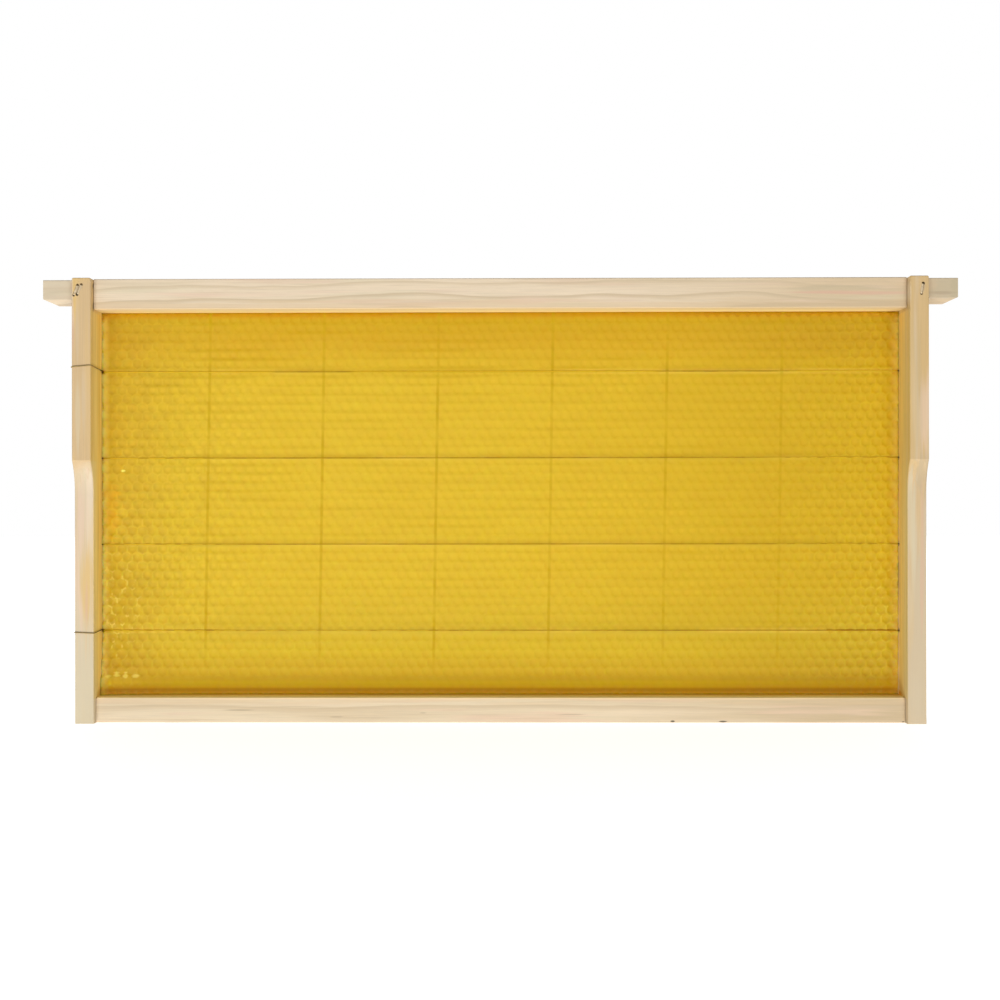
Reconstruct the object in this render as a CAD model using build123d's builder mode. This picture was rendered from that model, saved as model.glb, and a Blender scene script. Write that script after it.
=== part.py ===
from build123d import *
import os
from math import pi, sqrt, tan, radians

# A hive frame of the deep pattern: a lugged top bar, a bottom bar and two self-spacing end bars
# hold a sheet of wax foundation, strung with one wire and stiffened by upright wires in the wax.
# X runs along the top bar, the front faces -Y, and Z is up from the foot of the end bars.

# Overall length and height
top_bar_length = 482.0
frame_height = 234.0

# Top bar section and the lugs that hang the frame in a hive
top_bar_width = 27.0
top_bar_thickness = 16.0
lug_length = 17.5
lug_thickness = 10.2

# End bars: wide shoulders above that space the frames, a narrow foot below
end_bar_thickness = 10.0
shoulder_width = 35.0
shoulder_height = 95.5
shoulder_run = 17.0
foot_width = 27.0
ear_round = 0.9

# Bottom bar section
bottom_bar_width = 21.0
bottom_bar_thickness = 13.5
bottom_shoulder_round = 1.5

# Rebated ends of the two bars, which sit in the open slots of the end bars;
# the top bar's necks stand a little below its lugs
top_rebate_depth = 2.5
foot_rebate_depth = 2.0
neck_drop = 0.3
neck_clearance = 0.15
neck_inner_gap = 0.3
neck_outer_play = 0.3
edge_ease = 0.6

# Wax foundation, measured over its cell ridges, and the groove that holds its top edge
wax_thickness = 2.5
wax_side_gap = 1.0
wax_in_groove = 3.4
groove_depth = 4.0
groove_clearance = 0.2

# Embossed cells: their width across the flats, and how far the ridges between their rows stand out
cell_width = 5.4
row_relief = 0.35

# Strung wire, through four holes in each end bar
wire_diameter = 0.5
wire_clearance = 0.05
wire_hole_diameter = 2.5
wire_hole_pitch = 46.2
wire_hole_count = 4
wire_forward = 0.95
wire_hole_bend = 0.75
wire_lip_bend = 0.34

# Tied wire ends: a loop over the front of the left end bar, wrapped round the strung wire
tie_turns = 2
tie_roundness = 0.9
tie_tail = 1.4
tie_tail_drop = 0.5
top_tie_rise = (1.0, 1.9)
low_tie_rise = (0.4, -0.1)
tie_room = 0.4

# Upright wires inside the wax
upright_diameter = 0.4
upright_count = 6
upright_margin = 59.25
upright_shift = -3.4
upright_lean = 0.95
upright_back = 0.35
upright_end_cover = 1.0

# Staples, flat in their slots: crown width, wire, legs and how deep the crown is sunk
staple_crown = 5.6
staple_wire = 1.0
staple_bend = 0.6
staple_sink = 0.25
staple_clearance = 0.05
staple_bruise_diameter = 1.4
staple_bruise_depth = 2.4
staple_bruise_reach = 0.45
ear_staple_leg = 15.5
foot_staple_leg = 22.0

# Where each ear staple sits: in from the outer face, down from the ear top, and its lean
front_left_outer_seat = (2.1, 6.6, 20.0)
front_left_inner_seat = (4.05, 6.2, 20.0)
front_right_seat = (3.6, 6.7, -7.5)
rear_left_seat = (5.0, 7.0, -12.0)
rear_right_seat = (5.0, 7.0, 10.0)

# Sizes and places that follow from the sizes above
frame_length = top_bar_length - 2 * lug_length
outer_face = frame_length / 2
inner_face = outer_face - end_bar_thickness
wax_width = 2 * (inner_face - wax_side_gap)
top_bar_under = frame_height - top_bar_thickness
lug_under = frame_height - lug_thickness
neck_under = lug_under - neck_drop
shoulder_foot = frame_height - shoulder_height - shoulder_run
top_neck_width = top_bar_width - 2 * top_rebate_depth
foot_neck_width = bottom_bar_width - 2 * foot_rebate_depth
wax_top = top_bar_under + wax_in_groove
wax_height = wax_top - bottom_bar_thickness
wax_middle = bottom_bar_thickness + wax_height / 2
row_count = round(wax_height / (cell_width * sqrt(3) / 2))
row_pitch = wax_height / row_count
upright_pitch = (wax_width - 2 * upright_margin) / (upright_count - 1)
wire_radius = wire_diameter / 2
wire_lay = wire_radius + wire_clearance
wire_y = -wire_forward
hole_heights = [
    frame_height / 2 + wire_hole_pitch * ((wire_hole_count - 1) / 2 - row) for row in range(wire_hole_count)
]
LEFT, RIGHT = -1, 1


def ear_seat(side, face, seat):
    """Plane on an ear's face, with the crown along its X and the way out along its Z."""
    inset, drop, lean = seat
    upright = Vector(-side * tan(radians(lean)), 0, 1)
    middle = (side * (outer_face - inset), face * shoulder_width / 2, frame_height - drop)
    return Plane(origin=middle, x_dir=upright.normalized(), z_dir=(0, face, 0))


def foot_seat(side):
    """Plane under the bottom bar, in the middle of an end bar, with the crown across the bar."""
    middle = (side * (outer_face - end_bar_thickness / 2), 0, 0)
    return Plane(origin=middle, x_dir=(0, 1, 0), z_dir=(0, 0, -1))


def side_on(seat):
    """The plane that a staple's U is drawn on: crown along X, legs down -Y."""
    return Plane(origin=seat.origin, x_dir=seat.x_dir, z_dir=-seat.y_dir)


def make_staple(seat, leg):
    half = staple_crown / 2
    inside = half - staple_wire
    top = -staple_sink
    tip = top - leg
    with BuildPart() as staple:
        with BuildSketch(side_on(seat)):
            with BuildLine():
                Polyline(
                    (-half, top),
                    (half, top),
                    (half, tip),
                    (inside, tip + staple_wire),
                    (inside, top - staple_wire),
                    (-inside, top - staple_wire),
                    (-inside, tip + staple_wire),
                    (-half, tip),
                    close=True,
                )
            make_face()
        extrude(amount=staple_wire / 2, both=True)
        crown_corners = staple.edges().filter_by(Axis(seat.origin, seat.y_dir))
        fillet(crown_corners.sort_by(Axis(seat.origin, seat.z_dir))[-2:], staple_bend)
    return staple.part


def make_staple_cut(seat, leg):
    """What a driven staple leaves in the wood: a slot, two leg holes and bruises at the ends."""
    slot = staple_wire + 2 * staple_clearance
    half = staple_crown / 2 + staple_clearance
    deep = staple_sink + staple_wire + staple_clearance
    leg_middle = (staple_crown - staple_wire) / 2
    bruise_middle = leg_middle + staple_bruise_reach
    with BuildPart() as cut:
        with BuildSketch(seat):
            Rectangle(2 * half, slot)
        extrude(amount=-deep)
        with BuildSketch(seat):
            with Locations((-leg_middle, 0), (leg_middle, 0)):
                Rectangle(slot, slot)
        extrude(amount=-(staple_sink + leg + staple_clearance))
        with BuildSketch(seat):
            with Locations((-bruise_middle, 0), (bruise_middle, 0)):
                Circle(staple_bruise_diameter / 2)
        extrude(amount=-staple_bruise_depth)
    return cut.part


def make_end_bar(side, cuts):
    """One end bar, with its slots, ears, shoulders and wire holes; side is LEFT or RIGHT."""
    half_foot = foot_width / 2
    half_shoulder = shoulder_width / 2
    shoulder_edge = frame_height - shoulder_height
    with BuildPart() as bar:
        with BuildSketch(Plane.YZ.offset(side * outer_face)):
            with BuildLine():
                Line((0, 0), (half_foot, 0))
                Line((half_foot, 0), (half_foot, shoulder_foot))
                TangentArc((half_foot, shoulder_foot), (half_shoulder, shoulder_edge), tangent=(0, 1))
                Line((half_shoulder, shoulder_edge), (half_shoulder, frame_height))
                Line((half_shoulder, frame_height), (0, frame_height))
                mirror(about=Plane.YZ)
            make_face()
        extrude(amount=-side * end_bar_thickness)
        fillet(bar.edges().filter_by(Axis.Y).group_by(Axis.Z)[-1], ear_round)
        side_edges = bar.faces().filter_by(Axis.X).edges()
        fillet(side_edges.filter_by(Axis.Y, reverse=True), edge_ease)
        with BuildSketch(Plane.XZ):
            with Locations((side * (outer_face - end_bar_thickness / 2), frame_height)):
                Rectangle(2 * end_bar_thickness, frame_height - neck_under, align=(Align.CENTER, Align.MAX))
        extrude(amount=top_neck_width / 2 + neck_clearance, both=True, mode=Mode.SUBTRACT)
        with BuildSketch(Plane.XZ):
            with Locations((side * (outer_face - end_bar_thickness / 2), 0)):
                Rectangle(2 * end_bar_thickness, bottom_bar_thickness, align=(Align.CENTER, Align.MIN))
        extrude(amount=foot_neck_width / 2 + neck_clearance, both=True, mode=Mode.SUBTRACT)
        with BuildSketch(Plane.YZ.offset(side * outer_face)):
            with Locations(*[(0, height) for height in hole_heights]):
                Circle(wire_hole_diameter / 2)
        extrude(amount=-side * end_bar_thickness, mode=Mode.SUBTRACT)
        for cut in cuts:
            add(cut, mode=Mode.SUBTRACT)
    return bar.part


def tie_points(hole_height, front, rise):
    """Corners and bends of a tied end, from the hole's outer mouth to the cut tail."""
    outer_rise, inner_rise = rise
    outside = LEFT * (outer_face + wire_lay)
    inside = LEFT * (inner_face - wire_lay)
    wrap = wire_diameter + 2 * wire_clearance
    edge_bend = edge_ease + wire_lay
    corners = [
        ((outside, wire_y, hole_height), wire_lip_bend),
        ((outside, front - wire_lay, hole_height + outer_rise), edge_bend),
        ((inside, front - wire_lay, hole_height + inner_rise), edge_bend),
    ]
    quarters = ((1, 1), (1, -1), (-1, -1), (-1, 1))
    steps = 4 * (tie_turns - 1) + 2
    for step in range(steps):
        back, up = quarters[step % 4]
        along = inside + step * wrap / 4
        corners.append(((along, wire_y + back * wrap, hole_height + up * wrap), tie_roundness * wrap))
    tail_x = inside + steps * wrap / 4
    corners.append(((tail_x, wire_y - wrap - tie_tail, hole_height - wrap - tie_tail_drop), 0))
    return corners


def knot_relief(hole_height):
    """Middle, reach and height of the relief melted from the wax's left edge round a tied end."""
    wrap = wire_diameter + 2 * wire_clearance
    reach = tie_turns * wrap + wire_radius + tie_room
    return (LEFT * inner_face, hole_height), reach, 2 * (wrap + wire_radius + tie_room)


def row_profile():
    """Section of the sheet: ridges and hollows up its front, and the same half a row on down its back."""
    ridge = wax_thickness / 2
    hollow = ridge - row_relief
    front = []
    back = []
    for step in range(2 * row_count + 1):
        height = bottom_bar_thickness + step * row_pitch / 2
        near, far = (hollow, ridge) if step % 2 else (ridge, hollow)
        front.append((-near, height))
        back.append((far, height))
    return front + back[::-1]


def upright_plane(number):
    """Plane across an upright wire, half way up the wax."""
    middle = upright_shift + upright_pitch * (number - (upright_count - 1) / 2)
    lean = Vector(tan(radians(upright_lean)), 0, 1)
    return Plane(origin=(middle, upright_back, wax_middle), x_dir=(0, 1, 0), z_dir=lean.normalized())


os.makedirs("parts", exist_ok=True)

# Staples first, with the cuts that they leave in the bars
ear_staples = {
    "front_left_outer_staple": ear_seat(LEFT, -1, front_left_outer_seat),
    "front_left_inner_staple": ear_seat(LEFT, -1, front_left_inner_seat),
    "front_right_staple": ear_seat(RIGHT, -1, front_right_seat),
    "rear_left_staple": ear_seat(LEFT, 1, rear_left_seat),
    "rear_right_staple": ear_seat(RIGHT, 1, rear_right_seat),
}
foot_staples = {"foot_left_staple": foot_seat(LEFT), "foot_right_staple": foot_seat(RIGHT)}
ear_cuts = {name: make_staple_cut(seat, ear_staple_leg) for name, seat in ear_staples.items()}
foot_cuts = {name: make_staple_cut(seat, foot_staple_leg) for name, seat in foot_staples.items()}
for seats, leg in ((ear_staples, ear_staple_leg), (foot_staples, foot_staple_leg)):
    for name, seat in seats.items():
        staple = make_staple(seat, leg)
        staple.label = name
        export_step(staple, f"parts/{name}.step")

# Top bar: lugs, rebated necks and the groove for the wax
half_top = top_bar_length / 2
full_end = inner_face - neck_clearance
lug_start = outer_face + neck_outer_play
with BuildPart() as top_bar:
    with BuildSketch(Plane.XZ):
        with BuildLine():
            Line((0, frame_height), (half_top, frame_height))
            Line((half_top, frame_height), (half_top, lug_under))
            Line((half_top, lug_under), (lug_start, lug_under))
            Line((lug_start, lug_under), (lug_start, neck_under))
            Line((lug_start, neck_under), (full_end, neck_under))
            Line((full_end, neck_under), (full_end, top_bar_under))
            Line((full_end, top_bar_under), (0, top_bar_under))
            mirror(about=Plane.YZ)
        make_face()
    extrude(amount=top_bar_width / 2, both=True)
    rebate_length = half_top - inner_face + neck_inner_gap
    rebate_middle = half_top - rebate_length / 2
    with BuildSketch(Plane.XY.offset(frame_height)):
        with GridLocations(2 * rebate_middle, top_neck_width + top_rebate_depth, 2, 2):
            Rectangle(rebate_length, top_rebate_depth)
    extrude(amount=-top_bar_thickness, mode=Mode.SUBTRACT)
    fillet(top_bar.edges().filter_by(Axis.X).group_by(Axis.Z)[-1], edge_ease)
    fillet(top_bar.edges().filter_by(Axis.X).group_by(Axis.Z)[0], edge_ease)
    with BuildSketch(Plane.XY.offset(top_bar_under)):
        Rectangle(2 * full_end, wax_thickness + 2 * groove_clearance)
    extrude(amount=groove_depth, mode=Mode.SUBTRACT)
    for cut in ear_cuts.values():
        add(cut, mode=Mode.SUBTRACT)
top_bar.part.label = "top_bar"
export_step(top_bar.part, "parts/top_bar.step")

# Bottom bar: rebated necks whose upper shoulders are a little rounded
rebate_start = inner_face - neck_clearance
round_start = bottom_bar_thickness - bottom_shoulder_round
round_end = rebate_start - bottom_shoulder_round
with BuildPart() as bottom_bar:
    with BuildSketch(Plane.XY):
        Rectangle(frame_length, bottom_bar_width)
    extrude(amount=bottom_bar_thickness)
    fillet(bottom_bar.edges().filter_by(Axis.X), edge_ease)
    for face in (-1, 1):
        with BuildSketch(Plane.XZ.offset(face * bottom_bar_width / 2)):
            with BuildLine():
                Line((rebate_start, 0), (rebate_start, round_start))
                TangentArc((rebate_start, round_start), (round_end, bottom_bar_thickness), tangent=(0, 1))
                Line((round_end, bottom_bar_thickness), (outer_face, bottom_bar_thickness))
                Line((outer_face, bottom_bar_thickness), (outer_face, 0))
                Line((outer_face, 0), (rebate_start, 0))
            make_face()
            mirror(about=Plane.YZ)
        extrude(amount=-face * foot_rebate_depth, mode=Mode.SUBTRACT)
    for cut in foot_cuts.values():
        add(cut, mode=Mode.SUBTRACT)
bottom_bar.part.label = "bottom_bar"
export_step(bottom_bar.part, "parts/bottom_bar.step")

# End bars
for name, side, word in (("left_end_bar", LEFT, "left"), ("right_end_bar", RIGHT, "right")):
    cuts = [cut for key, cut in {**ear_cuts, **foot_cuts}.items() if word in key]
    end_bar = make_end_bar(side, cuts)
    end_bar.label = name
    export_step(end_bar, f"parts/{name}.step")

# Strung wire: one length from tie to tie, in and out of the end bars
out_right = RIGHT * (outer_face + wire_lay)
out_left = LEFT * (outer_face + wire_lay)
turns = []
for row, height in enumerate(hole_heights):
    turns.append(((out_right, wire_y, height), wire_hole_bend))
    if row % 2 == 1 and row + 1 < wire_hole_count:
        turns.append(((out_left, wire_y, height), wire_hole_bend))
        turns.append(((out_left, wire_y, hole_heights[row + 1]), wire_hole_bend))
top_tie = tie_points(hole_heights[0], -shoulder_width / 2, top_tie_rise)
low_tie = tie_points(hole_heights[-1], -foot_width / 2, low_tie_rise)
corners = top_tie[::-1] + turns + low_tie
with BuildPart() as frame_wire:
    with BuildLine() as route:
        FilletPolyline([point for point, bend in corners], radius=[bend for point, bend in corners[1:-1]])
    with BuildSketch(Plane(origin=route.line @ 0, z_dir=route.line % 0)):
        Circle(wire_radius)
    sweep(path=route.line)
frame_wire.part.label = "frame_wire"
wire_length = sum(edge.length for edge in route.edges())
wire_volume = pi * wire_radius**2 * wire_length
print("frame wire length", round(wire_length, 1))
print("frame wire volume over section times length", frame_wire.part.volume / wire_volume)
export_step(frame_wire.part, "parts/frame_wire.step")

# Upright wires, each in its own bore through the wax
for number in range(upright_count):
    with BuildPart() as upright_wire:
        with BuildSketch(upright_plane(number)):
            Circle(upright_diameter / 2)
        extrude(amount=wax_height / 2 - upright_end_cover, both=True)
    upright_wire.part.label = f"upright_wire_{number + 1}"
    export_step(upright_wire.part, f"parts/upright_wire_{number + 1}.step")

# Wax foundation, ridged along its rows of cells, with a channel for each strung wire,
# a bore for each upright one, and relief round the two tied ends
with BuildPart() as wax_foundation:
    with BuildSketch(Plane.YZ):
        with BuildLine():
            Polyline(*row_profile(), close=True)
        make_face()
    extrude(amount=wax_width / 2, both=True)
    with BuildSketch(Plane.YZ):
        with Locations(*[(wire_y, height) for height in hole_heights]):
            SlotCenterPoint((-wax_thickness / 2, 0), (0, 0), 2 * wire_lay)
    extrude(amount=wax_width / 2, both=True, mode=Mode.SUBTRACT)
    for number in range(upright_count):
        with BuildSketch(upright_plane(number)):
            Circle(upright_diameter / 2 + wire_clearance)
        extrude(amount=wax_height, both=True, mode=Mode.SUBTRACT)
    for height in (hole_heights[0], hole_heights[-1]):
        middle, reach, tall = knot_relief(height)
        with BuildSketch(Plane.XZ):
            with Locations(middle):
                Rectangle(2 * reach, tall)
        extrude(amount=wax_thickness, both=True, mode=Mode.SUBTRACT)
wax_foundation.part.label = "wax_foundation"
export_step(wax_foundation.part, "parts/wax_foundation.step")
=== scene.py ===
from math import radians, sqrt
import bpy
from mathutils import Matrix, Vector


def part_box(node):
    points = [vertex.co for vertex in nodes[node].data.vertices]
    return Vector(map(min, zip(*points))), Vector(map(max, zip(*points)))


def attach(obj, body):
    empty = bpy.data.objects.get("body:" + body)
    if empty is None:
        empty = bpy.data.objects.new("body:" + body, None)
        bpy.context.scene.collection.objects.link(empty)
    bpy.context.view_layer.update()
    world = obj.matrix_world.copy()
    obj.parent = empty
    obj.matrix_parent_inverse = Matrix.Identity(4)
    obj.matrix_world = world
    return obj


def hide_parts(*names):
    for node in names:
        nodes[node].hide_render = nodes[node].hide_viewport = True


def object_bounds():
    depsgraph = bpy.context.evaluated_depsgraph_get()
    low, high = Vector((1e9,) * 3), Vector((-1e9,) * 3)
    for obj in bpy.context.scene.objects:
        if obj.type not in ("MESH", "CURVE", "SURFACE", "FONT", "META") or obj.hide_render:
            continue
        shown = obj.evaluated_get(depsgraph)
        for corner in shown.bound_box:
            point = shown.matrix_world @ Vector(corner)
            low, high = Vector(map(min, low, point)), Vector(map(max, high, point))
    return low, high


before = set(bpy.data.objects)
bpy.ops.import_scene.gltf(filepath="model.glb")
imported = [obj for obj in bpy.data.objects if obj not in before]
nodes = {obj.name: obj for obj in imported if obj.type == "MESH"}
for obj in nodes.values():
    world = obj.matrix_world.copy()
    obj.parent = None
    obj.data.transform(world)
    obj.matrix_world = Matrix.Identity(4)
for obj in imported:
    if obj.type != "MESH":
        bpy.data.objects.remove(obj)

from types import SimpleNamespace

import bmesh
import bpy
from mathutils import Vector

cad_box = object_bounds()

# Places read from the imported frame, in metres
wax_low, wax_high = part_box("wax_foundation")
left_bar_low, left_bar_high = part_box("left_end_bar")
first_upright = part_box("upright_wire_1")
last_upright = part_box("upright_wire_6")
inner_face = -left_bar_high.x
opening_foot = wax_low.z
opening_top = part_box("top_bar")[0].z
middle_height = cad_box[1].z / 2

# Fronts of the shoulders, of the top bar and the end bars' lower parts, of the bottom bar and of the lugs;
# how deep a mark on them goes, and how far a staple's leg is from the end of its crown
shoulder_front = -0.0175
bar_front = -0.0135
foot_front = -0.0105
lug_front = -0.0110
skin = 0.004
leg_inset = 0.0003

# The photograph's view: a level camera, a little right of the middle, turned a little to the left
camera_place = (0.005, -0.6099, 0.1175)
camera_turn = 0.447
camera_roll = 0.065
camera_lens = 40.93
camera_sensor = 36.0

# Light: a white surround, one lamp high behind, and two low in front that shine up through the floor
low_light_place = (1.3, -2.9, -2.7)
low_light_size = 1.6
low_light_power = 76.0
rear_light_place = (-0.5, 1.9, 1.6)
rear_light_size = 1.4
rear_light_power = 24.0
ambient_light = 0.40
floor_size = 6.0
floor_glow = 0.7
white = (1.0, 1.0, 1.0, 1.0)
floor_grey = (0.85, 0.85, 0.85, 1.0)

# Strung wires, from the end bars' four holes
wire_pitch = 0.0462
wire_heights = [middle_height + wire_pitch * (1.5 - row) for row in range(4)]

# Upright wires in the wax: their pitch, their shift from the middle and how far they lean
upright_count = 6
upright_pitch = (last_upright[0].x - first_upright[0].x) / (upright_count - 1)
upright_shift = (first_upright[0].x + last_upright[1].x) / 2
upright_size = first_upright[1] - first_upright[0]
upright_lean = (upright_size.x - upright_size.y) / upright_size.z

# Foundation cells: rows up the sheet, pitch across the flats, rim, and the three-sided floor
row_count = 44
row_rise = (wax_high.z - wax_low.z) / row_count
cell_radius = row_rise / 1.5
cell_pitch = sqrt(3) * cell_radius
rim_width = 0.0010
rim_front = -0.00125
floor_level = -0.00045
floor_fall = 0.00020
cells_across = 81
row_pairs = 24

# How many cells left of the sheet's edge, and rows below its foot, the cells start before they are trimmed
cells_before = 2
rows_before = 1.5

# The sheet's side edges, at its top and foot
left_edge = (-0.2136, -0.2136)
right_edge = (0.2135, 0.2128)

# Beds melted along the strung wires: half their height, the wax's level in them, and where they run
bed_half = 0.00045
bed_level = -0.00108
bed_stretches = (
    ((-0.120, -0.080), (0.086, 0.160)),
    ((-0.160, 0.165),),
    ((-0.165, 0.170),),
    ((-0.150, 0.175),),
)

# How the cells are pressed flat, where they stay crisp at the sides, and where the upper left is calmer
press_passes = 6
press_share = 0.5
crisp_start = 0.10
crisp_end = 0.212
crisp_share = 0.75
calm_share = 0.6
calm_left = (0.05, 0.15)
calm_height = (0.10, 0.16)

# The low corners, in which the cells are crispest
corner_share = 0.97
corner_reach = 0.024
corner_top = 0.095
corner_fade = 0.040

# The foot's left corner of the sheet, which stands forward from just below the lowest wire
lift_forward = 0.0042
lift_reach = 0.060
lift_below_wire = 0.001

# Edges of the wax sheet that are flatter than this look smooth
smooth_angle = 100

# Colours of the wax
floor_colour = (0.72, 0.547, 0.027, 1.0)
cloud_colour = (0.70, 0.521, 0.024, 1.0)
# Painted shade along the rows of cells, to the right and under the top bar
shaded_wax_colour = (0.567, 0.414, 0.002, 1.0)
olive_colour = (0.522, 0.450, 0.022, 1.0)
# Painted light that lifts the foot in the bottom bar's shadow
lit_foot_colour = (0.75, 0.585, 0.012, 1.0)
# Painted highlights on rims, and on cells that catch the light
lit_rim_colour = (0.82, 0.624, 0.042, 1.0)
# Painted glints and painted shade in the cells of the low corners
corner_glint_colour = (1.0, 0.88, 0.16, 1.0)
corner_shade_colour = (0.60, 0.456, 0.008, 1.0)
# Brown for dashes of painted shade where the sheet meets the left end bar
brown_colour = (0.33, 0.19, 0.012, 1.0)
orange_colour = (0.80, 0.456, 0.012, 1.0)
pale_colour = (0.78, 0.576, 0.062, 1.0)
# A crumb of wax, and painted glints on cells at the foot's left
crumb_and_glint_colour = (1.0, 0.92, 0.24, 1.0)
shadow_colour = (0.56, 0.30, 0.0, 1.0)
edge_colour = (0.97, 0.73, 0.18, 1.0)
tooth_colour = (0.44, 0.24, 0.0, 1.0)
line_colour = (0.53, 0.39, 0.0, 1.0)
sunk_wire_colour = (0.74, 0.53, 0.020, 1.0)
left_tint = (0.972, 0.975, 1.13, 1.0)
right_tint = (0.965, 0.963, 0.89, 1.0)

# Colours of the wires and staples, each bright and dull
tied_wire = ((0.43, 0.31, 0.12, 1.0), (0.28, 0.19, 0.075, 1.0))
bare_wire = ((0.11, 0.062, 0.020, 1.0), (0.05, 0.028, 0.010, 1.0))
waxed_wire = ((0.42, 0.23, 0.003, 1.0), (0.29, 0.145, 0.001, 1.0))
upright_wire = ((0.20, 0.13, 0.06, 1.0), (0.10, 0.06, 0.025, 1.0))
staple_wire = ((0.70, 0.57, 0.38, 1.0), (0.50, 0.40, 0.26, 1.0))

# Colours of the wood, and of the painted reflected light from the wax and the painted shade at the foot
reflected_gold = (1.0, 0.78, 0.27, 1.0)
reflection_strength = 0.7
reflected_orange = (1.0, 0.62, 0.10, 1.0)
close_reflection_strength = 0.7
foot_shade_brown = (0.84, 0.42, 0.02, 1.0)
cream = (0.86, 0.71, 0.52, 1.0)
pale = (0.77, 0.63, 0.43, 1.0)
ivory = (0.81, 0.68, 0.49, 1.0)
honey = (0.79, 0.54, 0.215, 1.0)
amber = (0.75, 0.53, 0.25, 1.0)
toffee = (0.70, 0.50, 0.27, 1.0)
caramel = (0.67, 0.465, 0.215, 1.0)
dusk = (0.72, 0.56, 0.36, 1.0)
tan = (0.66, 0.52, 0.34, 1.0)
tawny = (0.64, 0.50, 0.31, 1.0)
pink = (0.83, 0.62, 0.46, 1.0)
rose = (0.74, 0.48, 0.34, 1.0)
sage = (0.74, 0.65, 0.45, 1.0)
straw = (0.70, 0.61, 0.435, 1.0)
oat = (0.65, 0.545, 0.385, 1.0)
buff = (0.56, 0.43, 0.26, 1.0)
lip = (0.78, 0.58, 0.35, 1.0)
# Painted highlight for the bottom bar's top front edge
edge_highlight = (1.0, 0.74, 0.48, 1.0)
lichen = (0.55, 0.47, 0.32, 1.0)
grey_sage = (0.67, 0.58, 0.42, 1.0)
moss = (0.54, 0.46, 0.30, 1.0)
grain_brown = (0.46, 0.36, 0.24, 1.0)
hole_black = (0.02, 0.013, 0.008, 1.0)

# Axes, and what turns grain upright and metres into millimetres
along_x = 0
along_z = 2
lying = (0.0, 0.0, 0.0)
upright = (0.0, radians(90), 0.0)
millimetres = (1000.0, 1000.0, 1000.0)


def deselect_all():
    bpy.ops.object.select_all(action="DESELECT")


def make_active(piece):
    deselect_all()
    piece.select_set(True)
    bpy.context.view_layer.objects.active = piece


def edit_all():
    """Goes into edit mode with everything selected."""
    bpy.ops.object.mode_set(mode="EDIT")
    bpy.ops.mesh.select_all(action="SELECT")


def leave_edit():
    bpy.ops.object.mode_set(mode="OBJECT")


def pick_vertices(piece, wanted):
    """In edit mode, selects the vertices whose place the test accepts."""
    mesh = bmesh.from_edit_mesh(piece.data)
    for face in mesh.faces:
        face.select = False
    for edge in mesh.edges:
        edge.select = False
    for vertex in mesh.verts:
        vertex.select = wanted(vertex.co)
    mesh.select_flush_mode()
    bmesh.update_edit_mesh(piece.data)


def apply_modifier(piece, modifier):
    make_active(piece)
    bpy.ops.object.modifier_apply(modifier=modifier.name)


# Node helpers


def feed(tree, socket, value):
    """Links a node's output to an input, or sets the input to a plain value."""
    if isinstance(value, bpy.types.NodeSocket):
        tree.links.new(value, socket)
    else:
        socket.default_value = value


def calc(tree, operation, *values):
    node = tree.nodes.new("ShaderNodeMath")
    node.operation = operation
    for socket, value in zip(node.inputs, values):
        feed(tree, socket, value)
    return node.outputs[0]


def product(tree, first, *others):
    for other in others:
        first = calc(tree, "MULTIPLY", first, other)
    return first


def largest(tree, first, *others):
    for other in others:
        first = calc(tree, "MAXIMUM", first, other)
    return first


def apart(tree, first, second):
    return calc(tree, "ABSOLUTE", calc(tree, "SUBTRACT", first, second))


def smooth_step(tree, value, start, end, low=0.0, high=1.0):
    """Goes from low to high while the value goes from start to end."""
    node = tree.nodes.new("ShaderNodeMapRange")
    node.interpolation_type = "SMOOTHSTEP"
    for socket, setting in zip(node.inputs, (value, start, end, low, high)):
        feed(tree, socket, setting)
    return node.outputs[0]


def fade(tree, value, start, end, high=1.0):
    """Goes from high to nothing while the value goes from start to end."""
    return smooth_step(tree, value, start, end, high, 0.0)


def band(tree, value, start, full, fading, end):
    """Rises to 1 from start to full, and falls again from fading to end."""
    return product(tree, smooth_step(tree, value, start, full), fade(tree, value, fading, end))


def stretch(tree, place, factors, shift=(0.0, 0.0, 0.0), turn=lying):
    node = tree.nodes.new("ShaderNodeMapping")
    feed(tree, node.inputs["Vector"], place)
    feed(tree, node.inputs["Scale"], factors)
    feed(tree, node.inputs["Rotation"], turn)
    feed(tree, node.inputs["Location"], shift)
    return node.outputs[0]


def noise(tree, place, factors, shift=(0.0, 0.0, 0.0), detail=2.0, roughness=0.5, output="Fac"):
    """Noise over a stretched and shifted place."""
    node = tree.nodes.new("ShaderNodeTexNoise")
    feed(tree, node.inputs["Vector"], stretch(tree, place, factors, shift))
    node.inputs["Scale"].default_value = 1.0
    node.inputs["Detail"].default_value = detail
    node.inputs["Roughness"].default_value = roughness
    return node.outputs[output]


def mix_colour(tree, factor, first, second, blend="MIX"):
    node = tree.nodes.new("ShaderNodeMix")
    node.data_type = "RGBA"
    node.blend_type = blend
    feed(tree, node.inputs[0], factor)
    feed(tree, node.inputs[6], first)
    feed(tree, node.inputs[7], second)
    return node.outputs[2]


def vector_calc(tree, operation, first, second=(0.0, 0.0, 0.0)):
    node = tree.nodes.new("ShaderNodeVectorMath")
    node.operation = operation
    feed(tree, node.inputs[0], first)
    feed(tree, node.inputs[1], second)
    return node.outputs["Value" if operation == "LENGTH" else "Vector"]


def split(tree, place):
    node = tree.nodes.new("ShaderNodeSeparateXYZ")
    feed(tree, node.inputs[0], place)
    return node.outputs


def read_mark(tree, name):
    """A value that was set on the piece's own vertices."""
    node = tree.nodes.new("ShaderNodeAttribute")
    node.attribute_name = name
    return node.outputs["Fac"]


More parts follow.
